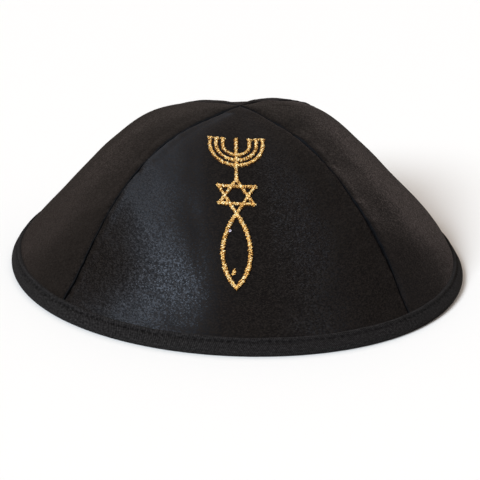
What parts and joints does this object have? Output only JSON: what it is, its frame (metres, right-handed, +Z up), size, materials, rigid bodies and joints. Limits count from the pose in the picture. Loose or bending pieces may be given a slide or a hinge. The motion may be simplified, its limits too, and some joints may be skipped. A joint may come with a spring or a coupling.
{
  "type": "satin kippah",
  "caption": "Four-gore satin skullcap with a folded rim band and a raised embroidered emblem, open underneath, resting on its rim.",
  "frame": {"origin": "on the surface that the kippah rests on, below the centre of its rim", "axes": "+Z up through the crown; the front gore with the emblem faces -Y; the right gore, seen from the front, faces +X"},
  "size_m": [0.1734, 0.1758, 0.0611],
  "materials": {
    "satin": "black polyester satin with a soft directional sheen",
    "binding": "black woven bias tape, duller than the satin",
    "gold_thread": "glossy gold rayon embroidery thread in satin stitch"
  },
  "bodies": {
    "root": {"panel_front": "satin", "panel_right": "satin", "panel_back": "satin", "panel_left": "satin", "rim_band": "binding", "embroidery_emblem": "gold_thread", "embroidery_fish_eye": "gold_thread"}
  },
  "joints": []
}
